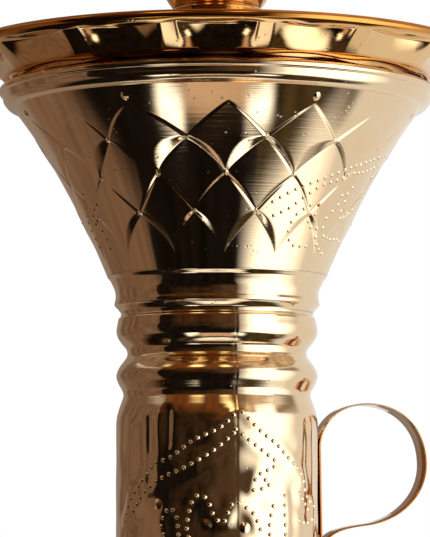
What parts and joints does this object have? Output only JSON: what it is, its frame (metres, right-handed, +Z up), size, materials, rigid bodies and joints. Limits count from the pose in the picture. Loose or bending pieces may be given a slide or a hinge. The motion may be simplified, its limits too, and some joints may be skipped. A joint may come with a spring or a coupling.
{
  "type": "coffee pot",
  "caption": "Thin sheet-metal coffee pot with a flared diamond-pressed mouth, beaded tube, round belly, low beak spout, strip handle and fluted lift-off lid with finial.",
  "frame": {"origin": "on the pot's axis, on the surface that the foot stands on", "axes": "+Z up along the axis of the pot, +X towards the strip handle, the spout points to -X"},
  "size_m": [0.208, 0.208, 0.4086],
  "materials": {
    "gold_sheet": "polished",
    "gold_trim": "polished",
    "steel_hidden": "plain"
  },
  "bodies": {
    "pot": {"mouth_funnel": "gold_sheet", "rim_hoop": "gold_sheet", "rim_wire": "steel_hidden", "neck_collar": "gold_sheet", "body_tube": "gold_sheet", "waist_ring": "gold_trim", "belly": "gold_sheet", "base_plate": "gold_trim", "foot_ring": "gold_sheet", "spout": "gold_sheet", "spout_flange": "gold_trim", "handle_strip": "gold_sheet", "handle_pad": "gold_trim", "handle_rivets": "gold_trim"},
    "lid": {"lid_brim": "gold_sheet", "lid_lip": "gold_trim", "lid_dome": "gold_sheet", "lid_collar": "gold_trim", "finial_base": "gold_trim", "finial_bulb": "gold_sheet", "finial_ring": "gold_trim", "finial_spire": "gold_sheet", "finial_stud": "steel_hidden", "finial_washer": "steel_hidden", "finial_nut": "steel_hidden"}
  },
  "joints": [
    {"name": "lid_lift", "type": "slide", "parent": "pot", "child": "lid", "axis": [0, 0, 1], "range_m": [0, 0.12]}
  ]
}
